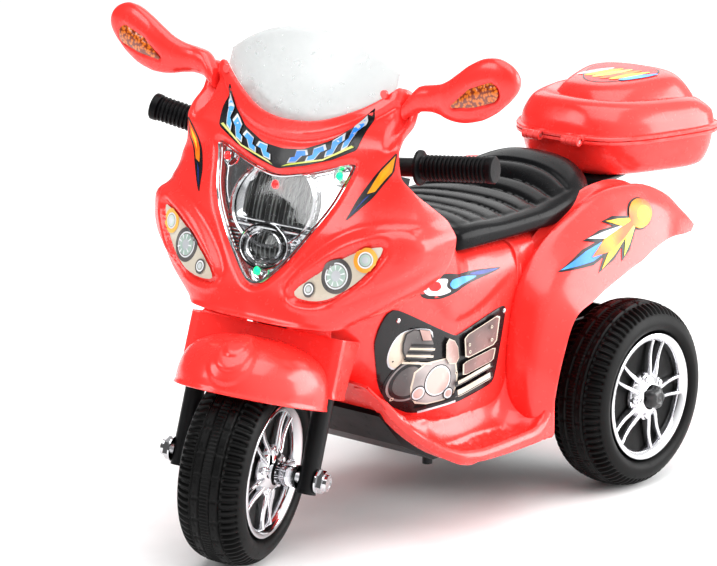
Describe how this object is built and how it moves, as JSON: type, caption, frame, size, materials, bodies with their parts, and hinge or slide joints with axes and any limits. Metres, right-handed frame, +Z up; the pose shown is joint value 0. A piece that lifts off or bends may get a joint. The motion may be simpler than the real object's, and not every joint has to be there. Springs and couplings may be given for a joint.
{
  "type": "ride-on three-wheel motorcycle",
  "caption": "Child's battery ride-on motorcycle with steered front wheel, geared rear drive, padded seat, windshield, mirrors and a hinged rear trunk.",
  "frame": {"origin": "centre of the vehicle's bounding box, on the ground", "axes": "+Z up, the vehicle faces -Y, the rider's left is +X"},
  "size_m": [0.504, 0.7441, 0.503],
  "materials": {
    "red_shell": "glossy injection-moulded red plastic",
    "black_plastic": "satin black moulded plastic",
    "seat_skin": "satin black padded vinyl with sewn pleats",
    "tyre": "hard black moulded tread",
    "hub_chrome": "vacuum-plated plastic",
    "screen": "pale tinted clear plastic",
    "clear_lens": "clear moulded lens",
    "reflector_bright": "plated reflector bowl",
    "amber_lens": "amber honeycomb reflector",
    "lamp_print": "printed lamp label",
    "mirror_glass": "silvered plastic",
    "zinc_steel": "zinc-plated steel",
    "rubber_grip": "ribbed black rubber",
    "engine_print": "gloss black panel with printed engine",
    "led_bulb": "coloured bulb",
    "horn_yellow": "yellow push button",
    "music_blue": "blue push button",
    "switch_red": "red rocker",
    "battery_case": "sealed battery case",
    "gear_nylon": "natural nylon",
    "motor_can": "motor can"
  },
  "bodies": {
    "vehicle": {"body_shell": "red_shell", "chassis_pan": "black_plastic", "seat": "seat_skin", "seat_screw": "zinc_steel", "front_cowl": "red_shell", "cowl_inner_panel": "black_plastic", "windshield": "screen", "windshield_screws": "zinc_steel", "headlight_reflector": "reflector_bright", "headlight_lens": "clear_lens", "headlight_leds": "led_bulb", "side_lamp_left": "lamp_print", "side_lamp_right": "lamp_print", "mirror_left": "red_shell", "mirror_right": "red_shell", "mirror_reflector_left": "amber_lens", "mirror_reflector_right": "amber_lens", "mirror_glass_left": "mirror_glass", "mirror_glass_right": "mirror_glass", "steering_head": "black_plastic", "steering_bushes": "gear_nylon", "engine_panel_left": "engine_print", "engine_panel_right": "engine_print", "engine_panel_rivets": "zinc_steel", "battery": "battery_case", "battery_strap": "black_plastic", "drive_motor": "motor_can", "gearbox_case": "black_plastic", "rear_axle": "zinc_steel", "rear_axle_nuts": "hub_chrome", "switch_console": "black_plastic", "pedal_spring": "zinc_steel", "trunk_bracket": "black_plastic", "trunk_base": "red_shell", "trunk_hinge_pins": "zinc_steel"},
    "steering": {"fork": "black_plastic", "front_fender": "red_shell", "front_axle": "zinc_steel", "front_axle_nuts": "hub_chrome", "front_spacers": "hub_chrome", "handlebar": "black_plastic", "grip_left": "rubber_grip", "grip_right": "rubber_grip", "handlebar_cover": "red_shell"},
    "front_wheel": {"front_tyre": "tyre", "front_cap_left": "hub_chrome", "front_cap_right": "hub_chrome"},
    "rear_wheel_left": {"rear_left_tyre": "tyre", "rear_left_cap": "hub_chrome"},
    "rear_wheel_right": {"rear_right_tyre": "tyre", "rear_right_cap": "hub_chrome", "output_gear": "gear_nylon"},
    "idler": {"reduction_gear": "gear_nylon"},
    "motor_rotor": {"motor_pinion": "zinc_steel"},
    "trunk_cover": {"trunk_lid": "red_shell"},
    "power_rocker": {"power_switch": "switch_red"},
    "direction_rocker": {"direction_switch": "black_plastic"},
    "pedal": {"accelerator_pedal": "black_plastic"},
    "horn": {"horn_button": "horn_yellow"},
    "music": {"music_button": "music_blue"}
  },
  "joints": [
    {"name": "steer", "type": "hinge", "parent": "vehicle", "child": "steering", "pos_m": [0, -0.27581, 0.09531], "axis": [0, 0.2982, 0.9545], "range_deg": [-38, 0]},
    {"name": "front_wheel_spin", "type": "hinge", "parent": "steering", "child": "front_wheel", "pos_m": [0, -0.27581, 0.09531], "axis": [0.9455, 0.3108, -0.0971], "continuous": true},
    {"name": "rear_left_spin", "type": "hinge", "parent": "vehicle", "child": "rear_wheel_left", "pos_m": [0.123, 0.16019, 0.095], "axis": [1, 0, 0], "continuous": true},
    {"name": "rear_right_spin", "type": "hinge", "parent": "vehicle", "child": "rear_wheel_right", "pos_m": [-0.123, 0.16019, 0.095], "axis": [1, 0, 0], "continuous": true},
    {"name": "idler_spin", "type": "hinge", "parent": "vehicle", "child": "idler", "pos_m": [-0.066, 0.12953, 0.1127], "axis": [1, 0, 0], "continuous": true},
    {"name": "motor_spin", "type": "hinge", "parent": "vehicle", "child": "motor_rotor", "pos_m": [-0.062, 0.10804, 0.1342], "axis": [1, 0, 0], "continuous": true},
    {"name": "trunk_lid_hinge", "type": "hinge", "parent": "vehicle", "child": "trunk_cover", "pos_m": [0, 0.19259, 0.335], "axis": [1, 0, 0], "range_deg": [0, 95]},
    {"name": "power_rock", "type": "hinge", "parent": "vehicle", "child": "power_rocker", "pos_m": [-0.014, -0.09596, 0.34671], "axis": [1, 0, 0], "range_deg": [0, 16]},
    {"name": "direction_rock", "type": "hinge", "parent": "vehicle", "child": "direction_rocker", "pos_m": [0.014, -0.09596, 0.34671], "axis": [1, 0, 0], "range_deg": [-8, 8]},
    {"name": "accelerate", "type": "hinge", "parent": "vehicle", "child": "pedal", "pos_m": [-0.108, -0.10781, 0.088], "axis": [1, 0, 0], "range_deg": [-6, 0], "stiffness_Nm_per_rad": 2, "springref_deg": 2.86, "deforming": ["pedal_spring"]},
    {"name": "horn_press", "type": "slide", "parent": "steering", "child": "horn", "axis": [0, 0.2982, 0.9545], "range_m": [-0.003, 0], "stiffness_N_per_m": 300, "springref_m": 0.001},
    {"name": "music_press", "type": "slide", "parent": "steering", "child": "music", "axis": [0, 0.2982, 0.9545], "range_m": [-0.003, 0], "stiffness_N_per_m": 300, "springref_m": 0.001}
  ],
  "couplings": [
    {"joint": "idler_spin", "follows": "rear_right_spin", "ratio": -4},
    {"joint": "motor_spin", "follows": "rear_right_spin", "ratio": 16}
  ]
}
